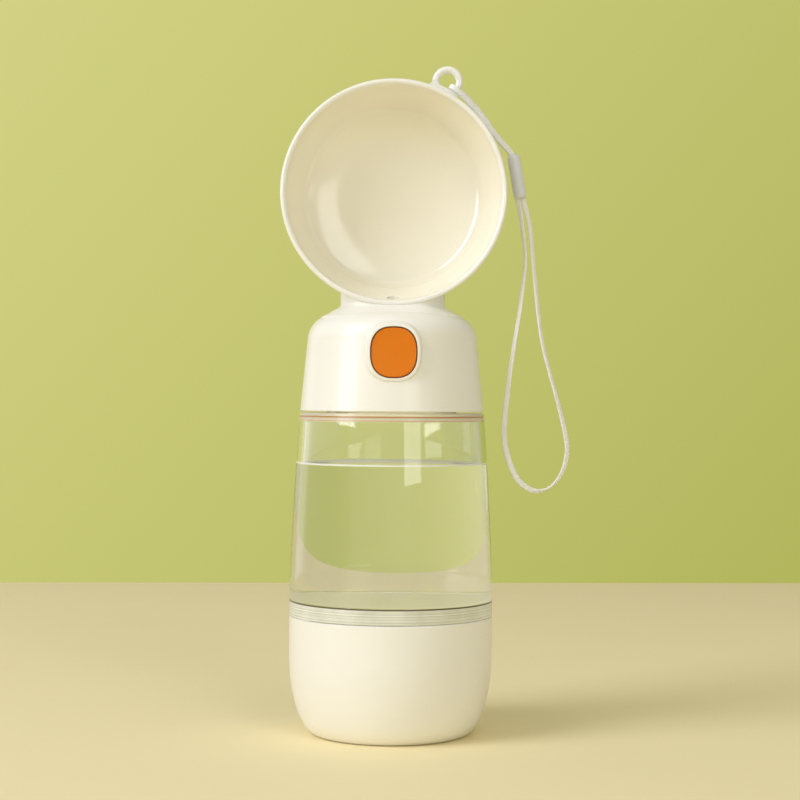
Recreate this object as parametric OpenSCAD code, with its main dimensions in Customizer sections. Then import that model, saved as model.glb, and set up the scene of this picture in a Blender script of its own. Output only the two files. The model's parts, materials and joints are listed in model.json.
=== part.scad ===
// Dog travel water bottle: a food cup below, a clear bottle between, and a head with a press valve
// and an upright drinking bowl on top. Z = 0 is the table, the bowl faces -Y.

/* [Food cup] */
// Outer radius of the food cup and of the bottle where they meet
cup_r = 37.9; // [34:0.1:45.5]
// Height of the food cup
cup_h = 44; // [38:0.5:60]
// Radius of the flat foot
cup_foot_r = 27.5; // [22:0.5:30]
// Height over which the wall swells out from the foot
cup_curve_h = 30; // [20:0.5:32]
// Wall of the food cup
cup_wall = 2.4; // [1.9:0.1:3]
// Depth of the shallow recess under the foot
foot_recess = 0.8; // [0.4:0.1:1.2]
// Height of the rubber ring between cup and bottle
cup_gasket_h = 1.6; // [1:0.1:2.5]

/* [Bottle] */
// Height of the clear bottle from the cup's rim to its shoulder
bottle_h = 75.6; // [60:0.2:100]
// Outer radius of the bottle at its shoulder
bottle_top_r = 34.4; // [33:0.1:36]
// Wall of the clear bottle
bottle_wall = 2.5; // [1.8:0.1:3]
// Thickness of the bottle's floor
bottle_floor = 3.5; // [2.5:0.1:5]
// Height of the floor's underside over the cup's rim
floor_lift = 2; // [1:0.1:4]
// Length of the threaded spigot that screws into the cup
spigot_h = 10; // [8:0.5:12]
// Wall of the spigot
spigot_wall = 2.2; // [1.8:0.1:2.6]
// Inner radius of the bottle's mouth
mouth_r = 22.2; // [20:0.1:23.5]
// Wall of the bottle's threaded neck
mouth_wall = 1.8; // [1.5:0.1:2.2]
// Height of the threaded neck over the shoulder
mouth_h = 9; // [8:0.5:11]
// Height of the rubber ring on the mouth
mouth_gasket_h = 1.5; // [1:0.1:2]

/* [Head] */
// Gap that shows between the bottle's shoulder and the head
head_gap = 0.4; // [0.4:0.1:1.2]
// Outer radius of the head at its lower edge
head_base_r = 34.3; // [33.5:0.1:36]
// Outer radius of the head where its shoulder begins
head_side_r = 31.7; // [31:0.1:33]
// Height of the head's side up to its shoulder
head_side_h = 26.2; // [24:0.2:30]
// Radius of the head's round shoulder
shoulder_r = 10; // [8:0.5:11]
// Wall of the head
head_wall = 2.2; // [1.8:0.1:2.6]
// Half the width of the neck that carries the bowl
neck_half_w = 19.4; // [17:0.1:21]
// Half the depth of the neck, which is the radius of its round ends
neck_end_r = 11.5; // [10.5:0.1:12]
// Fillet between the neck and the slope under it
neck_fillet = 2; // [1:0.1:3]
// Slope of the skirt that runs from the neck down to the shoulder, in degrees
neck_slope = 28.6; // [24:0.2:32]

/* [Drinking bowl] */
// Outer radius of the bowl's rim
bowl_r = 41.7; // [38:0.1:46]
// Height of the bowl's centre over the head's lower edge
bowl_rise = 80.4; // [78:0.1:86]
// Distance of the rim's plane in front of the bottle's axis
rim_front = 16; // [15:0.1:17]
// Wall of the bowl
bowl_wall = 1.9; // [1.5:0.1:2.4]
// Draft of the bowl's wall at the rim, in degrees
bowl_draft = 6.9; // [4:0.1:9]
// Radius of the curve of the bowl's wall
bowl_curve_r = 45; // [40:1:55]
// Slope of the wall where it runs into the corner of the floor, in degrees
bowl_turn = 34; // [28:1:38]
// Radius of the corner between wall and floor
bowl_corner_r = 5; // [3:0.5:7]
// Slope of the dished floor at its edge, in degrees
floor_dish = 8.4; // [4:0.2:12]
// Radius of the water outlet
outlet_r = 2.3; // [1.8:0.1:2.5]

/* [Lanyard eye] */
// Angle of the eye from the top of the bowl, in degrees
eye_angle = 25.2; // [20:0.2:32]
// Inner radius of the eye
eye_hole_r = 3; // [2.6:0.1:3.5]
// Thickness of the eye's round section
eye_section = 2.8; // [2.2:0.1:3.2]
// Distance of the eye's centre beyond the bowl's rim
eye_reach = 5.1; // [5:0.1:6.5]
// Distance of the eye behind the rim's plane
eye_back = 11; // [9:0.5:12]

/* [Button and valve] */
// Width of the button
button_w = 16.4; // [14:0.2:18]
// Height of the button
button_h = 18; // [15:0.2:19]
// Height of the button's centre over the head's lower edge
button_rise = 21.3; // [21:0.1:23]
// Travel of the button
travel = 3.5; // [2.5:0.1:3.6]
// Width of the raised lip round the button
lip_w = 1.4; // [1.2:0.1:2.6]
// Gap between button and lip
button_gap = 0.3; // [0.2:0.05:0.5]
// Distance of the lip's face in front of the bottle's axis
lip_front = 33.8; // [33.4:0.1:35]
// Radius of the valve's stem
stem_r = 1.5; // [1.2:0.1:1.8]
// Radius of the hole that the plug closes
seat_r = 3.2; // [2.8:0.1:3.6]
// Radius of the plug
plug_r = 4.6; // [4.2:0.1:4.8]
// Radius of the valve chamber's bore
chamber_r = 5.6; // [5.4:0.1:6]
// Wall of the valve chamber
chamber_wall = 2; // [1.5:0.1:2.4]
// Wire of the button's spring
wire_d = 0.7; // [0.5:0.05:0.9]
// Turns of the button's spring
spring_turns = 6; // [4:1:7]

/* [Lanyard] */
// Diameter of the cord
cord_d = 1.6; // [1.2:0.1:1.8]
// Length of the bead on the cord
bead_l = 16.4; // [12:0.2:20]
// Outer radius of the bead
bead_r = 2.5; // [2.2:0.1:3]
// Radius of the bead's hole, which holds two strands
bead_hole_r = 1.75; // [1.7:0.05:1.9]

/* [Hidden] */
$fn = 96;

// Clearances
thread_room = 1.4; // radial room that the two threads of a screw joint share
slip = 0.1; // radial gap of a part that is pushed in
ledge_w = 0.9; // ledge in the cup's rim that carries the rubber ring
seat_gap = 0.05; // gap between parts that are welded or pressed face to face
run_gap = 0.05; // radial gap of the stem in its guide
eps = 0.5; // how far a cut runs past a face

// Food cup
cup_inner_r = cup_r - cup_wall;
rebate_r = cup_inner_r + ledge_w;
rim_chamfer = 0.4;

// Bottle
spigot_r = cup_inner_r - thread_room;
floor_z = cup_h + floor_lift + bottle_floor;
seam_rise = 0.5; // the base's ring stands this far over the floor and is welded to the wall there
seam_z = floor_z + seam_rise;
shoulder_z = cup_h + bottle_h;
taper_power = 1.45; // how late the taper of the wall sets in
mouth_out_r = mouth_r + mouth_wall;
mouth_top = shoulder_z + mouth_h;
shoulder_t = 2.2;
inner_corner = 1.2;
outer_corner = 0.8;

// Head
head_z = shoulder_z + head_gap;
side_top = head_z + head_side_h;
base_chamfer = 0.3;
arc_r = head_side_r - shoulder_r; // radius at which the round shoulder's centre lies
deck_z = side_top + shoulder_r;
neck_x = neck_half_w - neck_end_r;
neck_front = rim_front - 0.5; // the neck's front stands this far before the bottle's axis
neck_y = neck_end_r - neck_front;
slope_x = arc_r + shoulder_r * sin(neck_slope); // where the slope runs into the round shoulder
slope_z = side_top + shoulder_r * cos(neck_slope);
neck_z = slope_z + (slope_x - neck_half_w) * tan(neck_slope);

// Bowl
bowl_z = head_z + bowl_rise;
lip_r = bowl_wall / 2;
wall_start = [bowl_r - bowl_wall, lip_r];
floor_turn = 90 - floor_dish;
corner_start = wall_start + [bowl_curve_r * (cos(bowl_turn) - cos(bowl_draft)),
    bowl_curve_r * (sin(bowl_turn) - sin(bowl_draft))];
floor_start = corner_start + [bowl_corner_r * (cos(floor_turn) - cos(bowl_turn)),
    bowl_corner_r * (sin(floor_turn) - sin(bowl_turn))];
floor_r = floor_start[0] / cos(floor_turn);

// Valve
axis_z = head_z + button_rise;
plate_z = mouth_top + mouth_gasket_h;
plate_t = 2;
skirt_r = mouth_out_r + thread_room;
skirt_wall = 1.8;
flange_t = 1.8;
flange_z = head_z + 0.7;
seal_y = -15.2;
seal_t = 2;
front_bore_r = chamber_r - 0.6;
chamber_front = -19.6;
seat_y = -2.5;
seat_t = 2.1;
chamber_back = 13;
inlet_y = 7;
inlet_r = 3.4;
inlet_wall = 1.8;
web_t = 3; // web that carries the chamber on the plate
duct_y = -8;
socket_r = 3.9;
socket_wall = 1;
socket_z = axis_z + chamber_r + chamber_wall + 1.6;
socket_depth = 6;
duct_seal_h = 1.2;
cap_t = 1.8;
cap_plug_l = 2;
spout_z = socket_z + duct_seal_h;
plug_disc_t = 2;
plug_step = 1.2;
plug_l = 3.1;
collar_w = 0.6;
collar_t = 1.1;
stem_tail = 4.6; // the stem runs this far behind the seat

// Button
well_end = 27.6; // the lip's tube ends this far in front of the bottle's axis
button_face = lip_front - 0.3;
button_wall = 1.5;
hub_r = 2.8;
stop_room = 3.35; // room left behind the button at the end of its travel
button_dish = 0.6;
stem_front = -(button_face - button_wall - 0.4);
corner_power = 2.5; // how square the button's outline is
edge_r = 0.7;
lip_round = 1;
lip_flare = 1.2; // how much wider the lip is where it runs into the head
spring_r = hub_r + 0.5 + wire_d / 2;
spring_front = button_face - button_wall - seat_gap;
spring_back = -chamber_front + cap_t + seat_gap;
button_l = button_face - spring_back - travel - stop_room;

// Lanyard eye
eye_root = 4; // how deep the eye's foot reaches into the bowl's wall

// Lanyard: the route of the cord from the eye, down one strand, round and up the other
ROUTE = [[21, -5.2, 241.1], [21.7, -7, 240.5], [23.3, -7.6, 239.3], [25.5, -7.1, 237.3],
    [31.9, -5.9, 230.4], [38.1, -5.9, 222.6], [43.7, -5.9, 216.2], [44.6, -5.87, 213.8],
    [45.2, -5.6, 207.6], [46.1, -5.1, 201], [47.9, -4.9, 189.4], [49.2, -4.8, 176.5],
    [47.8, -4.7, 161.5], [46.2, -4.6, 150.6], [44.3, -4.4, 138], [42.6, -4.2, 124], [41.8, -4.1, 113],
    [42.8, -4, 104.8], [46.2, -4, 96.1], [50.4, -3.9, 91.9], [54.8, -3.8, 90.6], [59.4, -3.6, 92.4],
    [63.4, -3.4, 97.3], [65.4, -3.2, 104.6], [64.8, -3.2, 111.6], [62.2, -3.2, 122.6],
    [59.1, -3.4, 133.6], [55.9, -3.7, 146], [53.9, -4, 160], [52.2, -4.4, 176.5], [50.7, -4.7, 189.8],
    [47.85, -4.9, 201.2], [46.5, -4.4, 207.8], [44.7, -4.13, 213.8], [43.8, -4.1, 216.2],
    [38.2, -4.1, 222.6], [32.4, -4.1, 231], [26.2, -2.8, 238.2], [23.6, -2.4, 239.7], [21.7, -3.1, 240.8],
    [21, -4.8, 241.1]];
cord_step = 3 * cord_d;
bead_top = [44.5, -5, 215.7];
bead_low = [47.2, -5, 199.5];
bead_round = 1.2; // how far the rounding of the bead's ends reaches along it

// Points of an arc about [x, y], from angle a0 to a1 in n steps
function arc(x, y, r, a0, a1, n) = [for (i = [0:n])
    let (a = a0 + (a1 - a0) * i / n) [x + r * cos(a), y + r * sin(a)]];

// Points of a quarter ellipse from its lowest point to its outermost one, or back
function swell(x, y, a, b, n, back = false) = [for (i = [0:n])
    let (t = 90 * (back ? n - i : i) / n) [x + a * sin(t), y - b * cos(t)]];

// Radius of the bottle's outside at a height
function bottle_r(z) =
    let (t = max(0, z - seam_z) / (shoulder_z - seam_z))
    cup_r - (cup_r - bottle_top_r) * pow(t, taper_power);

// Radius of the head's outside on its straight side
function head_r(z) = head_base_r + (head_side_r - head_base_r) * (z - head_z) / head_side_h;

// Rounded outline between a circle and a box
function squircle(w, h, n = 56) = [for (i = [0:n - 1])
    let (a = 360 * i / n, c = cos(a), s = sin(a))
    [w / 2 * sign(c) * pow(abs(c), 2 / corner_power), h / 2 * sign(s) * pow(abs(s), 2 / corner_power)]];

// A curve through the points p, in steps of about the length given
function smooth_line(p, step) = let (n = len(p)) [for (i = [0:n - 2])
    let (k = max(1, round(norm(p[i + 1] - p[i]) / step)), a = p[max(i - 1, 0)], b = p[i], c = p[i + 1],
        d = p[min(i + 2, n - 1)])
    each [for (j = [0:k - 1]) let (t = j / k) b + t * (c - a) / 2
        + t * t * (2 * a - 5 * b + 4 * c - d) / 2 + t * t * t * (3 * b - a - 3 * c + d) / 2],
    p[n - 1]];

function unit(v) = v / norm(v);

// The side direction of each ring, carried along the line without twist
function sides_of(line, dirs, i, s) = i == len(line) ? [] :
    let (flat = unit(s - (s * dirs[i]) * dirs[i]))
    concat([flat], sides_of(line, dirs, i + 1, flat));

// A closed tube of n sides swept along a line
module sweep_tube(line, r, n) {
    last = len(line) - 1;
    dirs = [for (i = [0:last]) unit(line[min(i + 1, last)] - line[max(i - 1, 0)])];
    first = abs(dirs[0][2]) < 0.9 ? [0, 0, 1] : [1, 0, 0];
    sides = sides_of(line, dirs, 0, first);
    points = [for (i = [0:last], j = [0:n - 1])
        line[i] + r * (cos(360 * j / n) * sides[i] + sin(360 * j / n) * cross(dirs[i], sides[i]))];
    walls = [for (i = [0:last - 1], j = [0:n - 1])
        let (a = i * n + j, b = i * n + (j + 1) % n) each [[a, b + n, b], [a, a + n, b + n]]];
    caps = [for (j = [1:n - 2]) each [[0, j, j + 1], [last * n, last * n + j + 1, last * n + j]]];
    polyhedron(points, concat(walls, caps));
}

// A cylinder on the valve's axis from y0 to y1
module bar_y(r, y0, y1) {
    translate([0, y1, axis_z]) rotate([90, 0, 0]) cylinder(r = r, h = y1 - y0);
}

// A slab of the button's outline along Y from y0 to y1, drawn in or out by grow
module squircle_y(y0, y1, grow = 0) {
    translate([0, y1, axis_z]) rotate([90, 0, 0])
        linear_extrude(height = y1 - y0) polygon(squircle(button_w + 2 * grow, button_h + 2 * grow));
}

module food_cup() {
    outer = concat([[0, foot_recess], [cup_foot_r - 4, foot_recess], [cup_foot_r - 4 + foot_recess, 0]],
        swell(cup_foot_r, cup_curve_h, cup_r - cup_foot_r, cup_curve_h, 26),
        [[cup_r, cup_h - rim_chamfer], [cup_r - rim_chamfer, cup_h]]);
    inner = concat([[rebate_r, cup_h], [rebate_r, cup_h - cup_gasket_h], [cup_inner_r, cup_h - cup_gasket_h]],
        swell(cup_foot_r, cup_curve_h, cup_inner_r - cup_foot_r, cup_curve_h - cup_wall, 20, back = true),
        [[0, cup_wall]]);
    color("ivory") rotate_extrude() polygon(concat(outer, inner));
}

module cup_gasket() {
    color("gainsboro") translate([0, 0, cup_h - cup_gasket_h]) difference() {
        cylinder(r = rebate_r - 2 * slip, h = cup_gasket_h);
        translate([0, 0, -eps]) cylinder(r = spigot_r + slip, h = cup_gasket_h + 2 * eps);
    }
}

// The bottle's floor with the threaded spigot under it, welded to the wall
module bottle_base() {
    under_z = cup_h + floor_lift;
    foot_z = cup_h - spigot_h;
    color("azure", 0.4) rotate_extrude() polygon([[0, floor_z], [cup_r - bottle_wall, floor_z],
        [cup_r - bottle_wall, seam_z], [cup_r, seam_z], [cup_r, cup_h + rim_chamfer],
        [cup_r - rim_chamfer, cup_h], [spigot_r, cup_h], [spigot_r, foot_z],
        [spigot_r - spigot_wall, foot_z], [spigot_r - spigot_wall, under_z], [0, under_z]]);
}

module water_bottle() {
    wall_n = 10;
    wall_foot = seam_z + seat_gap;
    wall_top = shoulder_z - shoulder_t - inner_corner;
    inner_top_r = bottle_r(wall_top) - bottle_wall;
    side_top_z = shoulder_z - outer_corner;
    inner = concat([for (i = [0:wall_n]) let (z = wall_foot + (wall_top - wall_foot) * i / wall_n)
            [bottle_r(z) - bottle_wall, z]],
        arc(inner_top_r - inner_corner, wall_top, inner_corner, 18, 90, 5),
        [[mouth_r, shoulder_z - shoulder_t], [mouth_r, mouth_top]]);
    outer = concat([[mouth_out_r, mouth_top], [mouth_out_r, shoulder_z]],
        arc(bottle_top_r - outer_corner, side_top_z, outer_corner, 90, 0, 5),
        [for (i = [1:wall_n]) let (z = side_top_z + (wall_foot - side_top_z) * i / wall_n) [bottle_r(z), z]]);
    color("azure", 0.4) rotate_extrude() polygon(concat(inner, outer));
}

module mouth_gasket() {
    color("gainsboro") translate([0, 0, mouth_top]) difference() {
        cylinder(r = mouth_out_r + 1, h = mouth_gasket_h);
        translate([0, 0, -eps]) cylinder(r = mouth_r + 0.4, h = mouth_gasket_h + 2 * eps);
    }
}

// The neck's stadium outline swept round a profile given as [distance outside the neck, height]
module neck_sweep(profile) {
    for (side = [-1, 1])
        translate([side * neck_x, neck_y, 0]) rotate_extrude()
            polygon([for (p = profile) [neck_end_r + p[0], p[1]]]);
    for (turn = [0, 180])
        translate([0, neck_y, 0]) rotate([0, 0, turn]) translate([-neck_x, 0, 0]) rotate([90, 0, 90])
            linear_extrude(height = 2 * neck_x) polygon([for (p = profile) [neck_end_r + p[0], p[1]]]);
}

// A straight prism of the neck's stadium outline, drawn in by inset
module neck_prism(inset, z0, z1) {
    r = neck_end_r - inset;
    for (side = [-1, 1])
        translate([side * neck_x, neck_y, z0]) cylinder(r = r, h = z1 - z0);
    translate([-neck_x, neck_y - r, z0]) cube([2 * neck_x, 2 * r, z1 - z0]);
}

module head_shell() {
    reach = slope_x - neck_half_w;
    start_z = neck_z + neck_fillet * tan(45 - neck_slope / 2);
    skirt = concat([[-neck_end_r, deck_z - head_wall], [reach, deck_z - head_wall], [reach, slope_z]],
        arc(neck_fillet, start_z, neck_fillet, 270 - neck_slope, 180, 6),
        [[-neck_end_r, start_z]]);
    inner_r = shoulder_r - head_wall;
    color("ivory") difference() {
        union() {
            rotate_extrude() polygon(concat([[0, head_z], [head_base_r - base_chamfer, head_z],
                [head_base_r, head_z + base_chamfer]],
                arc(arc_r, side_top, shoulder_r, 0, 90, 16), [[0, deck_z]]));
            neck_sweep(skirt);
            neck_prism(0, deck_z - head_wall, bowl_z);
            button_lip();
        }
        rotate_extrude() polygon(concat([[0, head_z - eps], [head_base_r - head_wall, head_z - eps],
            [head_base_r - head_wall, head_z]],
            arc(arc_r, side_top, inner_r, 0, 90, 12), [[0, deck_z - head_wall]]));
        neck_prism(head_wall, deck_z - head_wall - eps, bowl_z + eps);
        squircle_y(-lip_front - eps, -well_end + eps, button_gap);
        bowl_outer(seat_gap);
    }
}

// The raised lip round the button: a round front edge on flanks that flare into the head
module button_lip() {
    grow = button_gap + lip_w;
    hull() {
        for (a = [0:30:90])
            let (y = -lip_front + lip_round * (1 - sin(a)))
            squircle_y(y, y + 0.1, grow - lip_round * (1 - cos(a)));
        squircle_y(-well_end - 0.1, -well_end, grow + lip_flare);
    }
}

module drinking_bowl() {
    color("ivory") difference() {
        union() {
            bowl_outer(0);
            translate([0, duct_y, spout_z]) cylinder(r = socket_r - slip, h = bowl_z - bowl_r + 5 - spout_z);
            lanyard_eye();
        }
        bowl_inner();
        translate([0, duct_y, spout_z - eps]) cylinder(r = outlet_r, h = bowl_z - spout_z);
    }
}

// Outside or inside of the bowl as [radius, depth behind the rim's plane], t outside the inner face
function bowl_profile(t) = concat(
    arc(wall_start[0] - bowl_curve_r * cos(bowl_draft), wall_start[1] - bowl_curve_r * sin(bowl_draft),
        bowl_curve_r + t, bowl_draft, bowl_turn, 10),
    arc(corner_start[0] - bowl_corner_r * cos(bowl_turn), corner_start[1] - bowl_corner_r * sin(bowl_turn),
        bowl_corner_r + t, bowl_turn, floor_turn, 8),
    arc(0, floor_start[1] - floor_r * sin(floor_turn), floor_r + t, floor_turn, 90, 8));

module bowl_turned(points) {
    translate([0, 0, bowl_z]) rotate([90, 0, 0]) rotate_extrude()
        polygon([for (p = points) [max(0, p[0]), rim_front - p[1]]]);
}

// The bowl without its hollow, grown by g for a cut
module bowl_outer(g) {
    lip = arc(bowl_r - lip_r, lip_r, lip_r + g, -90, 0, 6);
    bowl_turned(concat([[0, -g]], lip, bowl_profile(bowl_wall + g)));
}

module bowl_inner() {
    lip = arc(bowl_r - lip_r, lip_r, lip_r, -90, -180, 6);
    bowl_turned(concat([[0, -eps], [bowl_r - lip_r, -eps]], lip, bowl_profile(0)));
}

// The eye: a round ring on a foot that spreads towards the bowl and fills the hole's lowest part
module lanyard_eye() {
    ring_r = eye_hole_r + eye_section / 2;
    side = ring_r + eye_section / 2;
    foot = -eye_reach - eye_root;
    flare = 1 - eye_reach;
    sill = 0.5 - eye_hole_r;
    translate([0, eye_back - rim_front, bowl_z]) rotate([0, eye_angle, 0])
        translate([0, 0, bowl_r + eye_reach]) rotate([90, 0, 0]) {
            rotate_extrude() translate([ring_r, 0]) circle(d = eye_section, $fn = 32);
            translate([0, 0, -eye_section / 2]) linear_extrude(height = eye_section) polygon([
                [-side - 0.8, foot], [side + 0.8, foot], [side + 0.8, flare - 0.8], [side - 0.2, flare + 0.6],
                [side - 1.2, sill + 1.6], [side - 2, sill + 1], [side - 3.6, sill], [3.6 - side, sill],
                [2 - side, sill + 1], [1.2 - side, sill + 1.6], [0.2 - side, flare + 0.6],
                [-side - 0.8, flare - 0.8]]);
        }
}

module valve_body() {
    outer_r = chamber_r + chamber_wall;
    flange_r = head_r(flange_z + flange_t) - head_wall - slip;
    color("whitesmoke") difference() {
        union() {
            translate([0, 0, flange_z]) cylinder(r = skirt_r + skirt_wall, h = plate_z + plate_t - flange_z);
            translate([0, 0, flange_z]) cylinder(r = flange_r, h = flange_t);
            bar_y(outer_r, chamber_front, chamber_back);
            translate([-web_t / 2, chamber_front, plate_z])
                cube([web_t, chamber_back - chamber_front, axis_z - plate_z]);
            translate([0, inlet_y, plate_z]) cylinder(r = inlet_r + inlet_wall, h = axis_z - plate_z);
            translate([0, duct_y, axis_z])
                cylinder(r = socket_r + socket_wall, h = socket_z + socket_depth - axis_z);
        }
        translate([0, 0, flange_z - eps]) cylinder(r = skirt_r, h = plate_z - flange_z + eps);
        bar_y(chamber_r, chamber_front - eps, seal_y + seal_t);
        bar_y(front_bore_r, chamber_front, seat_y - seat_t);
        bar_y(seat_r, seat_y - seat_t - eps, seat_y + eps);
        bar_y(chamber_r, seat_y, chamber_back + eps);
        translate([0, inlet_y, plate_z - eps]) cylinder(r = inlet_r, h = axis_z - plate_z);
        translate([0, duct_y, axis_z]) cylinder(r = outlet_r, h = socket_z - axis_z + eps);
        translate([0, duct_y, socket_z]) cylinder(r = socket_r, h = socket_depth + eps);
    }
}

module duct_seal() {
    color("gainsboro") translate([0, duct_y, socket_z]) difference() {
        cylinder(r = socket_r - slip, h = duct_seal_h);
        translate([0, 0, -eps]) cylinder(r = outlet_r, h = duct_seal_h + 2 * eps);
    }
}

module stem_seal() {
    color("gainsboro") difference() {
        bar_y(chamber_r - seat_gap, seal_y, seal_y + seal_t);
        bar_y(stem_r + run_gap, seal_y - eps, seal_y + seal_t + eps);
    }
}

module seal_retainer() {
    color("whitesmoke") difference() {
        union() {
            bar_y(chamber_r + chamber_wall, chamber_front - cap_t, chamber_front);
            bar_y(chamber_r - seat_gap, chamber_front - eps, seal_y);
        }
        bar_y(stem_r + run_gap, chamber_front - cap_t - eps, seal_y + eps);
    }
}

module chamber_cap() {
    color("whitesmoke") {
        bar_y(chamber_r + chamber_wall, chamber_back, chamber_back + cap_t);
        bar_y(chamber_r - seat_gap, chamber_back - cap_plug_l, chamber_back + eps);
    }
}

module valve_stem() {
    color("silver") {
        bar_y(stem_r, stem_front, seat_y + stem_tail);
        bar_y(stem_r + collar_w, seat_y - collar_t, seat_y + seat_gap);
        bar_y(stem_r + collar_w, seat_y + plug_l, seat_y + plug_l + collar_t);
    }
}

module valve_plug() {
    color("gainsboro") difference() {
        union() {
            bar_y(plug_r, seat_y + seat_gap, seat_y + plug_disc_t);
            bar_y(plug_r - plug_step, seat_y + seat_gap, seat_y + plug_l);
        }
        bar_y(stem_r, seat_y - eps, seat_y + plug_l + eps);
    }
}

module button() {
    back = -(button_face - button_l);
    reach = button_h / 2;
    dish_r = (reach * reach + button_dish * button_dish) / (2 * button_dish);
    color("darkorange") difference() {
        union() {
            difference() {
                hull() {
                    squircle_y(-button_face, -button_face + 0.1, -edge_r);
                    squircle_y(-button_face + edge_r * 0.3, -button_face + edge_r * 0.3 + 0.1, -edge_r * 0.3);
                    squircle_y(-button_face + edge_r, back, 0);
                }
                squircle_y(-button_face + button_wall, back + eps, -button_wall);
            }
            bar_y(hub_r, -button_face + button_wall - 0.1, back);
        }
        translate([0, -button_face, axis_z]) rotate([90, 0, 0]) rotate_extrude()
            polygon(concat([[0, eps], [reach, eps]],
                arc(0, dish_r - button_dish, dish_r, asin(reach / dish_r) - 90, -90, 8)));
        bar_y(stem_r, stem_front, back + eps);
    }
}

// The spring's winding, as points of its wire's centre
spring_line = [for (i = [0:8 * spring_turns])
    let (a = 45 * i, way = (spring_front - spring_back - wire_d) * i / (8 * spring_turns),
        y = wire_d / 2 - spring_front + way)
    [spring_r * cos(a), y, axis_z + spring_r * sin(a)]];
function gap_of(line, k) = min([for (i = [0:len(line) - 1 - k], j = [i + k:len(line) - 1])
    norm(line[i] - line[j])]);

module button_spring() {
    color("silver") sweep_tube(spring_line, wire_d / 2, 6);
}

module lanyard_cord() {
    color("white") sweep_tube(smooth_line(ROUTE, cord_step), cord_d / 2, 8);
}

module lanyard_bead() {
    lean = atan((bead_low[0] - bead_top[0]) / (bead_top[2] - bead_low[2]));
    middle = (bead_low + bead_top) / 2;
    half = bead_l / 2;
    core_r = bead_r - bead_round / 2;
    color("whitesmoke") translate(middle) rotate([0, -lean, 0]) rotate_extrude()
        polygon(concat([[bead_hole_r, -half]],
            [for (a = [0:30:90]) [core_r + bead_round / 2 * sin(a), -half + bead_round * (1 - cos(a))]],
            [for (a = [90:-30:0]) [core_r + bead_round / 2 * sin(a), half - bead_round * (1 - cos(a))]],
            [[bead_hole_r, half]]));
}

echo(spring_self_gap = gap_of(spring_line, 5) - wire_d, cord_rings = len(smooth_line(ROUTE, cord_step)));

food_cup();
cup_gasket();
bottle_base();
water_bottle();
mouth_gasket();
head_shell();
valve_body();
duct_seal();
stem_seal();
seal_retainer();
chamber_cap();
valve_stem();
valve_plug();
button();
button_spring();
drinking_bowl();
lanyard_cord();
lanyard_bead();
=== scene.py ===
# %% [markdown]
# # A travel water bottle for a dog
# The real object is a cream food cup, a clear bottle half full of water, and a cream head with an orange
# button that carries an upright drinking bowl. A white braided lanyard hangs from an eye on the bowl.
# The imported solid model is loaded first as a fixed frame, in metres, with Z = 0 on the table and the bowl
# facing -Y. The pieces that follow are built straight in that frame, so nothing needs fitting.

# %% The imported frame
import json
import math

import bmesh
import bpy
from mathutils import Matrix, Vector


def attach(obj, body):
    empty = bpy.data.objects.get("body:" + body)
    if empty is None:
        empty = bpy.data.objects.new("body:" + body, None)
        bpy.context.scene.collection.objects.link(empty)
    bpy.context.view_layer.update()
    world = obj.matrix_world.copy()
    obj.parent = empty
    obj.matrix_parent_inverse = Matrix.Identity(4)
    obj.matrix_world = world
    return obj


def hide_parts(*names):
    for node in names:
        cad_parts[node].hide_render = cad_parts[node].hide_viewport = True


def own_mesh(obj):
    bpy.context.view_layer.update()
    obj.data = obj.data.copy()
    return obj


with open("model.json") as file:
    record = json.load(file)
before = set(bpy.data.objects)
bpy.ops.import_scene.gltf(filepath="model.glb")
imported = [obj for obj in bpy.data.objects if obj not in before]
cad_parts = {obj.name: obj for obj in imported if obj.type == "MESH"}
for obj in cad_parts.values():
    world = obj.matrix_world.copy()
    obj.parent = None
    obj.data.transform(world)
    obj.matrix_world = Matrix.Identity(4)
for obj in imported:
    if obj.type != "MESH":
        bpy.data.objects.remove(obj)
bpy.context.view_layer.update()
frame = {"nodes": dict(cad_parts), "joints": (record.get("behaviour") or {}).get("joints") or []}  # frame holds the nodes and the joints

MM = 0.001

# %% [markdown]
# ## The camera
# The photograph looks level at the bottle: the head's lower edge is a straight line and the cup's rim an
# ellipse that opens downwards, so the eye is at the height where ellipses close, 124 mm over the table.
# The lens follows from how fast those ellipses open. The button and the bowl, which stand forward of the
# bottle's axis, sit a little right of it, so the eye is swung a degree to the left. A turn about the line of
# sight gives the slight lean.

# %% Camera
PHOTO_SIDE = 800  # pixels
FOCAL = 1840  # focal length, in the photograph's pixels
EYE = Vector((0.003, -0.689, 0.1243))
SWING = Matrix.Rotation(math.radians(-1.2), 4, "Z")
LEAN = math.radians(0.36)


def placed(name, data):
    """A new object in the scene."""
    made = bpy.data.objects.new(name, data)
    bpy.context.scene.collection.objects.link(made)
    return made


camera_data = bpy.data.cameras.new("camera")
camera_data.lens = FOCAL / PHOTO_SIDE * camera_data.sensor_width
camera = placed("camera", camera_data)
level = Matrix.Rotation(math.pi / 2, 4, "X")
camera.matrix_world = SWING @ Matrix.Translation(EYE) @ level @ Matrix.Rotation(LEAN, 4, "Z")
bpy.context.scene.camera = camera
print("lens", round(camera_data.lens, 1), "mm")

# %% [markdown]
# ## Node maths as sums
# A finish is easier to read as a formula than as a row of nodes. `Wire` wraps a socket, so that `1 - mask`
# adds the Math node it needs, and only the operators in use are overloaded. Any other node comes from
# `Nodes.node`, which takes its kind, settings and inputs. Both serve the materials and the Geometry Nodes.


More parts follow.
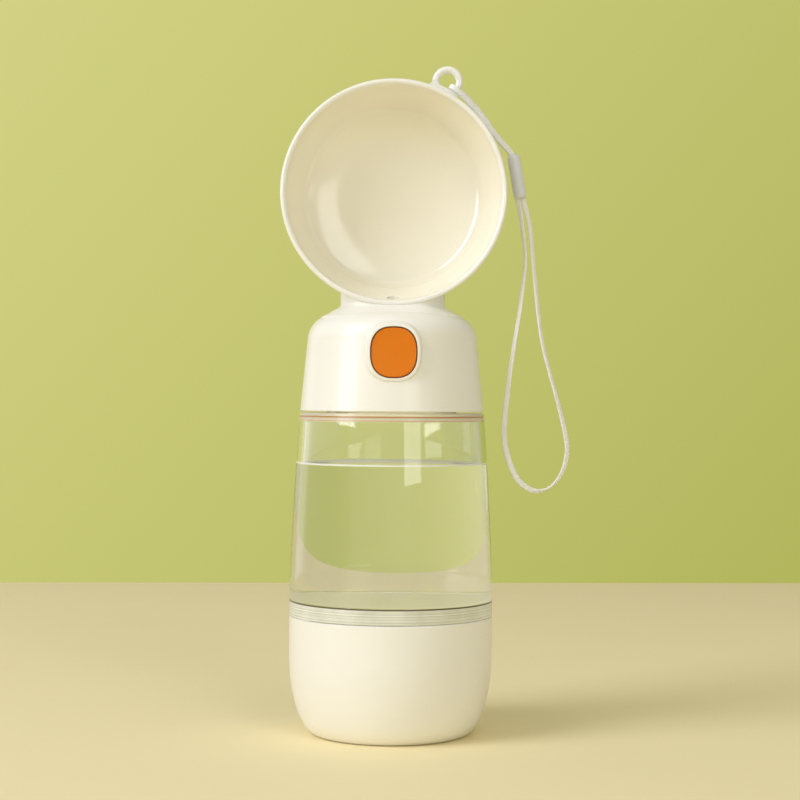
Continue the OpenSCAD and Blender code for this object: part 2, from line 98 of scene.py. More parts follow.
# %% Wires
class Wire:
    def __init__(self, owner, socket):
        self.owner = owner
        self.socket = socket

    def __add__(self, other):
        return self.owner.maths("ADD", self, other)

    __radd__ = __add__

    def __sub__(self, other):
        return self.owner.maths("SUBTRACT", self, other)

    def __rsub__(self, other):
        return self.owner.maths("SUBTRACT", other, self)

    def __mul__(self, other):
        return self.owner.maths("MULTIPLY", self, other)

    __rmul__ = __mul__

    def __truediv__(self, other):
        return self.owner.maths("DIVIDE", self, other)

    def __lt__(self, other):
        return self.owner.maths("LESS_THAN", self, other)

    def __gt__(self, other):
        return self.owner.maths("GREATER_THAN", self, other)


class Nodes:
    """A node tree under construction."""

    def node(self, kind, settings=None, inputs=None, output=0):
        made = self.tree.nodes.new(kind)
        for key, value in (settings or {}).items():
            setattr(made, key, value)
        for key, value in (inputs or {}).items():
            if isinstance(value, Wire):
                self.tree.links.new(value.socket, made.inputs[key])
            else:
                made.inputs[key].default_value = value
        return Wire(self, made.outputs[output])

    def maths(self, operation, *values):
        return self.node("ShaderNodeMath", {"operation": operation}, dict(enumerate(values)))

    def vector(self, operation, *values, output=0):
        return self.node("ShaderNodeVectorMath", {"operation": operation}, dict(enumerate(values)), output)


print("wires ready")

# %% [markdown]
# ## Finishes
# Most finishes here take the same steps: noise gives clouds, `run` spreads them over a range and `tint`
# makes a colour of them. The noise reads the piece's own place, so nothing has to be unwrapped, and it
# sticks to the piece when that moves.


# %% Finishes
class Finish(Nodes):
    """A material, or with another library and end a world."""

    def __init__(self, name, library=bpy.data.materials, end="Material"):
        self.material = library.new(name)
        self.end = end
        self.material.use_nodes = True
        self.tree = self.material.node_tree
        self.tree.nodes.clear()

    def add(self, kind, settings=None, inputs=None, output=0):
        return self.node("ShaderNode" + kind, settings, inputs, output)

    def place(self):
        return self.add("TexCoord", output="Object")

    def noise(self, size, detail=2.0):
        """Clouds whose spots are about `size` metres across, from 0 to 1."""
        return self.add("TexNoise", inputs={"Vector": self.place(), "Scale": 1 / size, "Detail": detail})

    def run(self, value, low, high, start=0.3, end=0.7):
        """Spreads the stretch from start to end over low to high. Noise seldom leaves 0.3 to 0.7."""
        names = {"From Min": start, "From Max": end, "To Min": low, "To Max": high}
        return self.add("MapRange", {"clamp": True}, {"Value": value, **names})

    def tint(self, factor, first, second):
        """Colour that runs from first to second as factor runs from 0 to 1."""
        shade = self.add("Mix", {"data_type": "RGBA"}, {0: factor}, output=2)
        mix = shade.socket.node
        for socket, colour in zip([s for s in mix.inputs if s.type == "RGBA"], (first, second)):
            if isinstance(colour, Wire):
                self.tree.links.new(colour.socket, socket)
            else:
                socket.default_value = (*colour, 1)
        return shade

    def bump(self, height, depth, strength):
        return self.add("Bump", inputs={"Height": height, "Distance": depth, "Strength": strength})

    def shader(self, **inputs):
        """A Principled shader; underscores in the names stand for spaces."""
        sockets = {key.replace("_", " "): value for key, value in inputs.items()}
        return self.add("BsdfPrincipled", inputs=sockets)

    def blend(self, factor, first, second):
        """The first shader where factor is 0, the second where it is 1."""
        return self.add("MixShader", inputs={0: factor, 1: first, 2: second})

    def done(self, shader):
        out = self.tree.nodes.new("ShaderNodeOutput" + self.end)
        self.tree.links.new(shader.socket, out.inputs["Surface"])
        return self.material


print("finishes ready")

# %% [markdown]
# ## Moulded plastics
# A moulded plastic is even in colour, with a satin skin that blurs what it mirrors. One flat colour and one
# roughness would do for a toy, but they look computed. So the colour and the polish drift slowly, and a fine
# bump stands for the mould's own surface. It stays a few microns deep, since deeper grain would read as
# sandblasting. One function makes all five plastics, because they differ in numbers only.


# %% Moulded plastic
COLOUR_CLOUD = 28 * MM
POLISH_CLOUD = 7 * MM
WAVE = 11 * MM  # length of the slow waves in the surface
WAVE_HEIGHT = 3  # times the height of the grain
GLOSSIER, DULLER = 0.04, 0.05  # how far the roughness strays to both sides
SKIN_BUMP = 0.6


def moulded(name, pale, deep, rough, grain, depth, shade=None, coat=0.0, **more):
    """Grain is the size of the surface's finest marks in metres, and depth their height."""
    finish = Finish(name)
    if shade:
        pale, deep = shade(finish, pale, deep)
    drift = finish.noise(COLOUR_CLOUD, detail=3)
    colour = finish.tint(finish.run(drift, 0, 1), pale, deep)
    polish = finish.run(finish.noise(POLISH_CLOUD, detail=4), rough - GLOSSIER, rough + DULLER)
    skin = finish.noise(grain, detail=4)
    wave = finish.noise(WAVE, detail=1)
    normal = finish.bump(skin + WAVE_HEIGHT * wave, depth, SKIN_BUMP)
    shader = finish.shader(Base_Color=colour, Roughness=polish, Normal=normal, Coat_Weight=coat, **more)
    return finish.done(shader)


print("moulded plastics ready")

# %% [markdown]
# ## The bowl's painted bounce light
# The bowl's inside is painted a shade warmer than its lip, as painted bounce light, since its walls light one
# another more often than a fast render follows. The lip and the inside are one surface, so two materials on
# its faces would leave a ragged edge where the triangles end. A mask in the finish is exact: a point is
# inside when it lies nearer to the bowl's axis than the lip does and its surface faces the bowl's mouth.

# %% Painted bounce light inside the bowl
BOWL_Z = 200.4  # height of the bowl's axis over the table
BOWL_MOUTH = Vector((0, -20, BOWL_Z)) * MM
LIP_FROM = 39.5 * MM  # distance from the bowl's axis at which the lip starts
# painted bounce light: the share of red, green and blue that the bowl's inside keeps
BOUNCE_WARMTH = (1.01, 0.98, 0.885)
OFF_AXIS = (1, 0, 1)  # the bowl's axis runs along Y


def painted_bounce_warmth(finish, pale, deep):
    """The same two colours, painted a shade warmer inside the bowl as bounce light."""
    to_mouth = finish.vector("SUBTRACT", BOWL_MOUTH, finish.place())
    reach = finish.vector("LENGTH", finish.vector("MULTIPLY", to_mouth, OFF_AXIS), output="Value")
    facing = finish.vector("DOT_PRODUCT", finish.add("TexCoord", output="Normal"), to_mouth, output="Value")
    inside_lip = (reach < LIP_FROM) * (facing > 0.0)
    return [finish.tint(inside_lip, cool, [c * w for c, w in zip(cool, BOUNCE_WARMTH)]) for cool in (pale, deep)]


print("the inside keeps", [round(100 * w) for w in BOUNCE_WARMTH], "percent of red, green and blue")

# %% [markdown]
# ## Five plastics
# The cup, head and bowl are one cream plastic. The cup and head are satin under a thin gloss. The bowl came
# out of a polished mould, as the curved lights on its floor show, so it is the smoothest. The button is
# orange, the valve is white inside where nobody looks, and the seals are soft and matt.

# %% Five plastics
CREAM = (0.9, 0.888, 0.84)
CREAM_DEEP = (0.885, 0.872, 0.818)
cream_plastic = moulded("cream_plastic", CREAM, CREAM_DEEP, rough=0.34, grain=0.45 * MM, depth=0.003 * MM,
    coat=0.3, Coat_Roughness=0.1)
# the bowl's inside carries painted bounce light
bowl_plastic = moulded("bowl_plastic", CREAM, CREAM_DEEP, rough=0.15, grain=0.45 * MM, depth=0.002 * MM,
    shade=painted_bounce_warmth, Specular_IOR_Level=0.9)
orange_plastic = moulded("orange_plastic", (0.77, 0.21, 0.006), (0.73, 0.185, 0.005), rough=0.4,
    grain=0.35 * MM, depth=0.004 * MM, Specular_IOR_Level=0.25)
white_plastic = moulded("white_plastic", (0.8, 0.8, 0.77), (0.78, 0.78, 0.74), rough=0.42,
    grain=0.5 * MM, depth=0.008 * MM)
silicone = moulded("silicone", (0.62, 0.61, 0.58), (0.58, 0.57, 0.54), rough=0.62,
    grain=0.3 * MM, depth=0.012 * MM)
print("five plastics made")

# %% [markdown]
# ## Drawn steel
# The stem and the spring are drawn steel wire, with fine lines along it. A picture of scratches would have to
# be unwrapped. Noise that is drawn out along Y, the direction in which both pieces run, does without.

# %% Steel
STEEL = (0.56, 0.55, 0.53, 1)
DRAWN_LINE = 0.12 * MM
ALONG_Y = (1, 0.05, 1)
drawn = Finish("drawn_steel")
drawn_out = drawn.add("Mapping", inputs={"Vector": drawn.place(), "Scale": ALONG_Y})
scratches = drawn.add("TexNoise", inputs={"Vector": drawn_out, "Scale": 1 / DRAWN_LINE, "Detail": 3.0})
steel = drawn.done(drawn.shader(Base_Color=STEEL, Metallic=1.0,
    Roughness=drawn.run(scratches, low=0.3, high=0.45),
    Normal=drawn.bump(scratches, depth=0.004 * MM, strength=0.5)))
print("steel finish:", steel.name)

# %% [markdown]
# ## Seeing through
# The bottle is a hard clear plastic that bends light like glass, and a Principled shader with full
# transmission does that. Light that only passes through it, on its way to a shadow, is let straight through,
# as it would be after many more bounces than a render can take. The helpers also tell a point's height and
# its distance from the bottle's axis, since every mark on this bottle is a level ring.


# %% See-through helpers
GLASS = (0.985, 0.99, 0.98, 1)


def see_through(finish, shader, veil):
    """Lets shadow and diffuse light straight through a clear shader. Veil is the share that gets through."""
    light = finish.add("LightPath", output="Is Shadow Ray")
    soft = finish.add("LightPath", output="Is Diffuse Ray")
    open_air = finish.add("BsdfTransparent", inputs={"Color": (*veil, 1)})
    return finish.done(finish.blend(finish.maths("MAXIMUM", light, soft), shader, open_air))


def glassy(finish, ior=1.5, **more):
    return finish.shader(Base_Color=GLASS, IOR=ior, Transmission_Weight=1.0, **more)


def height_of(finish):
    return finish.add("SeparateXYZ", inputs={"Vector": finish.place()}, output="Z")


def axis_distance(finish):
    flat = finish.vector("MULTIPLY", finish.place(), (1, 1, 0))
    return finish.vector("LENGTH", flat, output="Value")


def band(value, middle, half_width, soft=0.08 * MM):
    """1 within half_width of the middle, running down to 0 over a soft edge."""
    off = value.owner.maths("ABSOLUTE", value - middle)
    return value.owner.run(off, 1.0, 0.0, half_width - soft, half_width + soft)


print("see-through helpers ready")

# %% [markdown]
# ## The bottle's wall
# The wall is clear but for its shoulder, a pale band between two thin brown lines. The band is the cream head
# mirrored in the thick plastic and the lines are shade in the gap under the head, which would take a very
# fine render. Here they are painted on a satin skin at that height: a painted reflection and two painted
# shade lines.

# %% Clear plastic
# the shoulder's painted reflection of the head, and the two painted shade lines in it
SHOULDER_REFLECTION = (118.05 * MM, 1.7 * MM)  # middle and half width
UPPER_SHADE_LINE = (118.1 * MM, 0.3 * MM)
LOWER_SHADE_LINE = (116.75 * MM, 0.15 * MM)
BAND_FROM = 32 * MM  # distance from the axis; the mouth lies nearer and stays clear
REFLECTED_HEAD_COLOUR, SHADE_LINE_COLOUR = (0.88, 0.8, 0.62), (0.5, 0.26, 0.1)
BAND_COVER, LINE_COVER = 0.62, 0.3  # how much of the clear plastic the band hides, and its line adds

clear = Finish("clear_plastic")
clear_height = height_of(clear)
upper_shade_line = band(clear_height, *UPPER_SHADE_LINE)
painted_shade_lines = clear.maths("MAXIMUM", upper_shade_line, band(clear_height, *LOWER_SHADE_LINE))
# a satin skin that carries the painted reflection and the painted shade lines
painted_reflection_skin = clear.shader(Base_Color=clear.tint(painted_shade_lines, REFLECTED_HEAD_COLOUR, SHADE_LINE_COLOUR), Roughness=0.3)
in_band = band(clear_height, *SHOULDER_REFLECTION) * (axis_distance(clear) > BAND_FROM)
on_shoulder = in_band * (BAND_COVER + LINE_COVER * upper_shade_line)
clear_plastic = see_through(clear, clear.blend(on_shoulder, glassy(clear, Roughness=0.012), painted_reflection_skin),
    veil=(0.93, 0.94, 0.92))
print("clear finish:", clear_plastic.name)

# %% [markdown]
# ## The bottle's base
# The base shows silvery with fine level lines, the marks that turning leaves on a mould, and a dark seam
# shows where it is welded to the wall. The level lines are real; the silvery tone over them is a painted
# sheen of the thick clear plastic. One-dimensional noise along the height gives level lines of uneven
# strength.
# They lie on the outer face only. The floor gets a matt skin, or it would mirror the backdrop, and that skin
# is painted with the table's yellow as it shows through the water.

# %% Ringed plastic
BASE_BAND = (47.2 * MM, 2.9 * MM)
SEAM_LINE = (49.75 * MM, 0.28 * MM)
OUTER_FROM = 37.2 * MM  # distance from the axis at which the outer face starts
FLOOR_FROM, FLOOR_TO = 45.8 * MM, 35.39 * MM  # the floor lies above this height and within this distance
LEVEL_LINE = 0.42 * MM
PATCH, PATCH_SHARE = 9 * MM, 0.35
STREAK_FROM, STREAK_TO = 0.42, 0.9  # the stretch of the noise that makes dark and pale rings
# dark and pale rings: the real level lines in a painted silvery sheen of the clear plastic
DARK_RING, PALE_RING = (0.48, 0.49, 0.4), (0.94, 0.96, 0.92)
SEAM_COLOUR, TABLE_SEEN_THROUGH = (0.1, 0.06, 0.03), (0.98, 0.9, 0.65, 1)
RING_COVER, STREAK_COVER, TABLE_VIEW_COVER = 0.88, 0.1, 0.95

ringed = Finish("ringed_plastic")
level_lines = ringed.add("TexNoise", {"noise_dimensions": "1D"}, {
    "W": height_of(ringed), "Scale": 1 / LEVEL_LINE, "Detail": 3.0})
patches = ringed.noise(PATCH)
streaks = ringed.run(level_lines + PATCH_SHARE * patches, 0.0, 1.0, STREAK_FROM, STREAK_TO)
seam_line = band(height_of(ringed), *SEAM_LINE)
# painted sheen: the level lines tinted silvery
lines_and_painted_sheen = ringed.tint(streaks, DARK_RING, PALE_RING)
lines_and_sheen_skin = ringed.shader(Base_Color=ringed.tint(seam_line, lines_and_painted_sheen, SEAM_COLOUR),
    Roughness=0.28, Normal=ringed.bump(level_lines, depth=0.06 * MM, strength=0.5))
from_outside = 1 - ringed.add("NewGeometry", output="Backfacing")
in_base = band(height_of(ringed), *BASE_BAND) * (axis_distance(ringed) > OUTER_FROM)
on_base = in_base * (RING_COVER + STREAK_COVER * streaks)
# a matt skin painted with the table's yellow as seen through the water
table_view_skin = ringed.shader(Base_Color=TABLE_SEEN_THROUGH, Roughness=0.4)
on_floor = (height_of(ringed) > FLOOR_FROM) * (axis_distance(ringed) < FLOOR_TO) * TABLE_VIEW_COVER
clear_or_table_view = ringed.blend(on_floor, glassy(ringed, Roughness=0.05), table_view_skin)
ringed_plastic = see_through(ringed, ringed.blend(on_base * from_outside, clear_or_table_view, lines_and_sheen_skin),
    veil=(0.9, 0.9, 0.87))
print("ringed finish:", ringed_plastic.name)

# %% [markdown]
# ## Water's look
# Water is clear too, with hardly a ripple. It climbs the wall in a thin curve that catches light from all
# round and shows as a white line, so that fringe gets a white skin of its own: a painted highlight. It bends
# light less than real water, 1.33, since the table's edge runs nearly level behind it in the photograph.

# %% Still water
LEVEL = 100.3  # height of the water over the table
WATER_IOR = 1.24
RIPPLE = 16 * MM
FRINGE_RISE, FRINGE_COVER = 0.1, 0.85

still = Finish("still_water")
ripple = still.noise(RIPPLE, detail=1)
# the meniscus's painted highlight, a white skin
fringe_highlight = still.shader(Base_Color=(0.95, 0.96, 0.93, 1), Roughness=0.2)
on_fringe_highlight = (height_of(still) > (LEVEL + FRINGE_RISE) * MM) * FRINGE_COVER
body = glassy(still, ior=WATER_IOR, Roughness=0.0,
    Normal=still.bump(ripple, depth=0.02 * MM, strength=0.3))
still_water = see_through(still, still.blend(on_fringe_highlight, body, fringe_highlight), veil=(0.95, 0.96, 0.95))
print("water finish:", still_water.name)

# %% [markdown]
# ## Cord and sleeve
# The lanyard is braided from bright white yarn. Each yarn is modelled, so its finish only adds the fibres:
# fine streaks and a soft sheen. The sleeve on it is a milky plastic tube that lets some light in.

# %% Yarn and sleeve
FIBRE = 0.16 * MM
YARN_WHITE, YARN_GREY = (0.97, 0.97, 0.96), (0.88, 0.88, 0.87)
yarn = Finish("white_yarn")
fuzz = yarn.noise(FIBRE, detail=3)
white_yarn = yarn.done(yarn.shader(Base_Color=yarn.tint(yarn.run(fuzz, 0, 1), YARN_WHITE, YARN_GREY),
    Roughness=yarn.run(fuzz, low=0.62, high=0.8), Sheen_Weight=0.25, Sheen_Roughness=0.5,
    Normal=yarn.bump(fuzz, depth=0.03 * MM, strength=0.6)))

MILK_CLOUD = 1.4 * MM
MILK, MILK_DEEP = (0.91, 0.94, 1.0), (0.86, 0.89, 0.96)
milky = Finish("milky_plastic")
cloud = milky.noise(MILK_CLOUD)
milky_plastic = milky.done(milky.shader(Base_Color=milky.tint(cloud, MILK, MILK_DEEP),
    Roughness=milky.run(cloud, low=0.28, high=0.36), Transmission_Weight=0.2, IOR=1.46,
    Normal=milky.bump(cloud, depth=0.01 * MM, strength=0.4)))
print("yarn finishes:", white_yarn.name, milky_plastic.name)

# %% [markdown]
# ## The solid model's own pieces
# Most nodes of the solid model already have the right shape, so they stay and only get a finish. The five
# that need more are replaced further down: the clear bottle, its base, the cord, its sleeve and the spring.

# %% Finishes on the solid model
FINISH_OF = {
    cream_plastic: ["food_cup", "head_shell"],
    bowl_plastic: ["drinking_bowl"],
    orange_plastic: ["button"],
    white_plastic: ["valve_body", "seal_retainer", "chamber_cap"],
    silicone: ["cup_gasket", "mouth_gasket", "duct_seal", "stem_seal", "valve_plug"],
    steel: ["valve_stem", "button_spring"],
    clear_plastic: ["water_bottle"],
    ringed_plastic: ["bottle_base"],
    white_yarn: ["lanyard_cord"],
    milky_plastic: ["lanyard_bead"],
}


def paint(mesh, material):
    mesh.materials.clear()
    mesh.materials.append(material)


for material, names in FINISH_OF.items():
    for name in names:
        paint(frame["nodes"][name].data, material)
print("painted", sum(len(names) for names in FINISH_OF.values()), "nodes")

# %% [markdown]
# ## Turned pieces
# A bottle is a turned shape: one outline swept round an axis. The Spin tool or a Screw modifier would do it,
# but both leave doubled points on the axis that have to be merged after. `turned` takes the outline itself,
# puts a single point where it meets the axis, and turns all faces outwards.


# %% Turning an outline
def arc(x, z, radius, start, end, steps=8):
    turns = [math.radians(start + (end - start) * i / steps) for i in range(steps + 1)]
    return [(x + radius * math.cos(a), z + radius * math.sin(a)) for a in turns]


def add_piece(name, mesh, material, body):
    """A smooth, painted object at the origin that moves with one body of the solid model."""
    for polygon in mesh.polygons:
        polygon.use_smooth = True
    paint(mesh, material)
    piece = placed(name, mesh)
    if body:
        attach(piece, body)
    print(name, "has", len(mesh.polygons), "faces")
    return piece


def mesh_of_rings(name, rings, steps, closed):
    """Faces between rings of points or a single point. Closed joins the last ring to the first."""
    net = bmesh.new()
    rings = [[net.verts.new(place) for place in ring] for ring in rings]
    for low, high in zip(rings, rings[1:] + (rings[:1] if closed else [])):
        for i in range(steps):
            corners = [low[i % len(low)], low[(i + 1) % len(low)],
                high[(i + 1) % len(high)], high[i % len(high)]]
            corners = list(dict.fromkeys(corners))
            if len(corners) > 2:
                net.faces.new(corners)
    bmesh.ops.recalc_face_normals(net, faces=net.faces)
    mesh = bpy.data.meshes.new(name)
    net.to_mesh(mesh)
    net.free()
    return mesh


ON_AXIS = 1e-6
SHARP_EDGE = math.radians(35)


def turned(name, outline, material, body, steps=160):
    """A closed solid of revolution about Z. The outline is in millimetres as (radius, height)."""
    rings = []
    for radius, height in outline:
        count = 1 if radius < ON_AXIS else steps
        rings.append([(radius * MM * math.cos(math.tau * i / steps),
            radius * MM * math.sin(math.tau * i / steps), height * MM) for i in range(count)])
    off_axis = min(outline[0][0], outline[-1][0]) > ON_AXIS
    piece = add_piece(name, mesh_of_rings(name, rings, steps, closed=off_axis), material, body)
    piece.data.set_sharp_from_angle(angle=SHARP_EDGE)
    return piece


print("turning ready")

# %% [markdown]
# ## The clear bottle
# The bottle keeps the outline of its solid model, drawn finer, because light that is bent twice by each wall
# shows every flat. The wall stands upright for a few millimetres over the cup and then draws in towards the
# head. Its base is a piece of its own, welded on, with the thread's spigot below it.

# %% The wall's curve
CUP_R, CUP_H = 37.9, 44.0
BOTTLE_TOP_R, BOTTLE_H, WALL = 34.4, 75.6, 2.5
UPRIGHT, DRAW_IN = 6, 1.45  # the upright stretch, and the power of the height by which the rest draws in
WALL_STEPS = 30


def wall_radius(height):
    rise = max(0.0, height - CUP_H - UPRIGHT) / (BOTTLE_H - UPRIGHT)
    return CUP_R - (CUP_R - BOTTLE_TOP_R) * rise ** DRAW_IN


def wall_line(start, end, steps, inset):
    heights = [start + (end - start) * i / steps for i in range(steps + 1)]
    return [(wall_radius(z) - inset, z) for z in heights]


print("the wall draws in from", wall_radius(CUP_H), "to", wall_radius(CUP_H + BOTTLE_H), "mm")

# %% Clear wall
SEAM = 50.0
SEAM_GAP = 0.05  # keeps the wall's face off the base's, since glass faces that coincide turn black
SHOULDER = CUP_H + BOTTLE_H
SHOULDER_T, INNER_CORNER, OUTER_CORNER = 2.2, 1.2, 0.8
MOUTH_IN, MOUTH_OUT, MOUTH_TOP = 22.2, 24.0, SHOULDER + 9
EDGE, CORNER = 0.3, 0.4  # how far edges and corners are broken
WALL_TOP = SHOULDER - SHOULDER_T - INNER_CORNER
inside = (wall_line(SEAM + SEAM_GAP, WALL_TOP, WALL_STEPS, WALL)
    + arc(wall_radius(WALL_TOP) - WALL - INNER_CORNER, WALL_TOP, INNER_CORNER, start=12, end=90)
    + [(MOUTH_IN + CORNER, SHOULDER - SHOULDER_T), (MOUTH_IN, SHOULDER - SHOULDER_T + CORNER),
        (MOUTH_IN, MOUTH_TOP - EDGE), (MOUTH_IN + EDGE, MOUTH_TOP)])
outside = ([(MOUTH_OUT - EDGE, MOUTH_TOP), (MOUTH_OUT, MOUTH_TOP - EDGE), (MOUTH_OUT, SHOULDER + CORNER),
        (MOUTH_OUT + CORNER, SHOULDER)]
    + arc(BOTTLE_TOP_R - OUTER_CORNER, SHOULDER - OUTER_CORNER, OUTER_CORNER, start=90, end=0)
    + wall_line(SHOULDER - OUTER_CORNER, SEAM + SEAM_GAP, WALL_STEPS, 0)[1:])
bottle = turned("clear_bottle", inside + outside, clear_plastic, "bottle")
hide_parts("water_bottle")

# %% Clear base
FLOOR_TOP, FLOOR_LOW = 49.5, 46.0
SPIGOT_R, SPIGOT_IN, SPIGOT_FOOT = 34.1, 31.9, 34.0
ROUNDED = 0.12  # the middle of a rounding of 0.4 lies this far from both faces
base_outline = [(0, FLOOR_TOP), (CUP_R - WALL - EDGE, FLOOR_TOP), (CUP_R - WALL, FLOOR_TOP + EDGE),
    (CUP_R - WALL, SEAM), (CUP_R, SEAM), (CUP_R, CUP_H + CORNER), (CUP_R - ROUNDED, CUP_H + ROUNDED),
    (CUP_R - CORNER, CUP_H), (SPIGOT_R, CUP_H), (SPIGOT_R, SPIGOT_FOOT + EDGE),
    (SPIGOT_R - EDGE, SPIGOT_FOOT), (SPIGOT_IN, SPIGOT_FOOT), (SPIGOT_IN, FLOOR_LOW - CORNER),
    (SPIGOT_IN - CORNER, FLOOR_LOW), (0, FLOOR_LOW)]
base = turned("clear_base", base_outline, ringed_plastic, "bottle")
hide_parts("bottle_base")

# %% [markdown]
# ## The water
# Water that only touches a wall leaves a film of air in a render, which looks like mercury. So the water
# reaches a quarter of a millimetre into the plastic, and its surface climbs the wall in a small meniscus.

# %% Water
BITE = 0.25
CLIMB, FADE = 0.7, 0.5  # the meniscus's height at the wall, and how far from it that falls to a third
FROM_WALL = (0.05, 0.2, 0.4, 0.7, 1.1, 2)
FLAT_WITHIN = 20  # distance from the axis
WATER_STEPS = 24
meniscus = [(wall_radius(LEVEL) - WALL - d, LEVEL + CLIMB * math.exp(-d / FADE)) for d in FROM_WALL]
water_side = wall_line(FLOOR_TOP - BITE, LEVEL + CLIMB, WATER_STEPS, WALL - BITE)
water_outline = [(0, FLOOR_TOP - BITE)] + water_side + meniscus + [(FLAT_WITHIN, LEVEL), (0, LEVEL)]
turned("drinking_water", water_outline, still_water, "bottle")

# %% [markdown]
# ## The bowl's floor
# The broad soft light at the lower left of the bowl is a lamp mirrored in a floor that curves up early, well
# before its corner. The solid model's dish is flatter there. A bump could fake the light, but the shape would
# be missing, so a thin turned floor of the same plastic lies in the dish. Its outline is a chain of arcs that
# run into one another: dish, bend, corner and the bowl's own wall. It stands a few hundredths of a millimetre
# proud of the solid's facets and is sunk into the plastic behind.


# %% Arcs that run into one another
def touching(first, first_curve, second, second_curve, curve):
    """The centre of a small circle that touches two larger ones from inside."""
    near, far = first_curve - curve, second_curve - curve
    line = second - first
    along = (near ** 2 - far ** 2 + line.length_squared) / (2 * line.length)
    out = math.sqrt(near ** 2 - along ** 2)
    unit = line.normalized()
    return first + unit * along + Vector((-unit.y, unit.x)) * out


def bearing(start, end):
    return math.degrees(math.atan2(end.y - start.y, end.x - start.x))


def chain(circles, start, end, grow, steps=12):
    """Arcs through circles that touch one another, from one bearing to the other, each grown a little."""
    turns = []
    for (first, first_curve), (second, second_curve) in zip(circles, circles[1:]):
        wide, small = (first, second) if first_curve > second_curve else (second, first)
        turns.append(bearing(wide, small))
    points = []
    for (middle, curve), low, high in zip(circles, [start] + turns, turns + [end]):
        points += arc(middle.x, middle.y, curve + grow, low, high, steps)[1 if points else 0:]
    return points


print("arcs ready")

# %% Bowl floor
RIM_FRONT = 16.0  # the rim's plane stands this far before the bottle's axis
PROUD, SUNK = 0.05, 0.6  # how far its front stands before the solid's surface, and its back behind
# An arc's centre is given by its distance from the bowl's axis and its depth behind the rim's plane.
SIDE_AT, SIDE_CURVE = Vector((-4.874, -4.456)), 45.0
DISH_AT, DISH_CURVE = Vector((0.0, -173.6)), 198.6
BEND_FROM, BEND_CURVE = 20.0, 38.0  # where the dish starts to bend up, and the bend's radius
CORNER_CURVE = 5.0
PAST_CORNER = 1.5  # degrees that the floor runs on up the side

bend_lean = math.asin(BEND_FROM / DISH_CURVE)
bend_at = DISH_AT + Vector((math.sin(bend_lean), math.cos(bend_lean))) * (DISH_CURVE - BEND_CURVE)
corner_at = touching(SIDE_AT, SIDE_CURVE, bend_at, BEND_CURVE, CORNER_CURVE)
solid_corner_at = touching(SIDE_AT, SIDE_CURVE, DISH_AT, DISH_CURVE, CORNER_CURVE)
floor_edge = bearing(SIDE_AT, corner_at) - PAST_CORNER
side, corner, bend = (SIDE_AT, SIDE_CURVE), (corner_at, CORNER_CURVE), (bend_at, BEND_CURVE)
solid_corner, dish = (solid_corner_at, CORNER_CURVE), (DISH_AT, DISH_CURVE)
floor_front = chain([side, corner, bend, dish], floor_edge, 90, -PROUD)
floor_back = chain([side, solid_corner, dish], floor_edge, 90, SUNK)
floor_outline = [(radius, RIM_FRONT - depth) for radius, depth in floor_front[::-1] + floor_back]
bowl_floor = turned("bowl_floor", floor_outline, bowl_plastic, "head")
bowl_floor.data.transform(Matrix.Translation((0, 0, BOWL_Z * MM)) @ Matrix.Rotation(math.pi / 2, 4, "X"))
print("the bowl's floor reaches", round(floor_front[0][0], 1), "mm from its axis")

# %% [markdown]
# ## The lanyard's line
# The cord's own line comes before its looks. These are the points of the solid model's route: through the
# eye, down to the sleeve, round the hanging loop and back. A smooth curve through them is resampled finely.

# %% Cord line
LINE_STEP = 1.2 * MM
ROUTE = [(21, -5.2, 241.1), (21.7, -7, 240.5), (23.3, -7.6, 239.3), (25.5, -7.1, 237.3),
    (31.9, -5.9, 230.4), (38.1, -5.9, 222.6), (43.7, -5.9, 216.2), (44.6, -5.87, 213.8),
    (45.2, -5.6, 207.6), (46.1, -5.1, 201), (47.9, -4.9, 189.4), (49.2, -4.8, 176.5), (47.8, -4.7, 161.5),
    (46.2, -4.6, 150.6), (44.3, -4.4, 138), (42.6, -4.2, 124), (41.8, -4.1, 113), (42.8, -4, 104.8),
    (46.2, -4, 96.1), (50.4, -3.9, 91.9), (54.8, -3.8, 90.6), (59.4, -3.6, 92.4), (63.4, -3.4, 97.3),
    (65.4, -3.2, 104.6), (64.8, -3.2, 111.6), (62.2, -3.2, 122.6), (59.1, -3.4, 133.6), (55.9, -3.7, 146),
    (53.9, -4, 160), (52.2, -4.4, 176.5), (50.7, -4.7, 189.8), (47.85, -4.9, 201.2), (46.5, -4.4, 207.8),
    (44.7, -4.13, 213.8), (43.8, -4.1, 216.2), (38.2, -4.1, 222.6), (32.4, -4.1, 231),
    (26.2, -2.8, 238.2), (23.6, -2.4, 239.7), (21.7, -3.1, 240.8), (21, -4.8, 241.1)]


def smooth_line(points, step):
    """A Catmull-Rom curve through the points, in steps of about the given length."""
    line = []
    for i in range(len(points) - 1):
        a, b, c, d = (points[min(max(j, 0), len(points) - 1)] for j in (i - 1, i, i + 1, i + 2))
        count = max(1, round((c - b).length / step))
        for j in range(count):
            t = j / count
            line.append(b + t * (c - a) / 2 + t * t * (2 * a - 5 * b + 4 * c - d) / 2
                + t ** 3 * (3 * b - a - 3 * c + d) / 2)
    return line + [points[-1]]


cord_line = smooth_line([Vector(p) * MM for p in ROUTE], LINE_STEP)
cord_length = sum((b - a).length for a, b in zip(cord_line, cord_line[1:]))
print("cord line of", len(cord_line), "points,", round(cord_length, 4), "m")

# %% [markdown]
# ## Braiding
# The cord is a flat braid of six yarns. Each yarn runs from edge to edge of the ribbon and dives over and
# under the yarns that it meets, so one rule gives all six: the side step is a triangle wave along the cord,
# and the dive is a faster wave that changes sign with the direction of travel. Geometry Nodes carry that
# rule along the line. Duplicate Elements makes one line for each yarn, and its index shifts the wave.


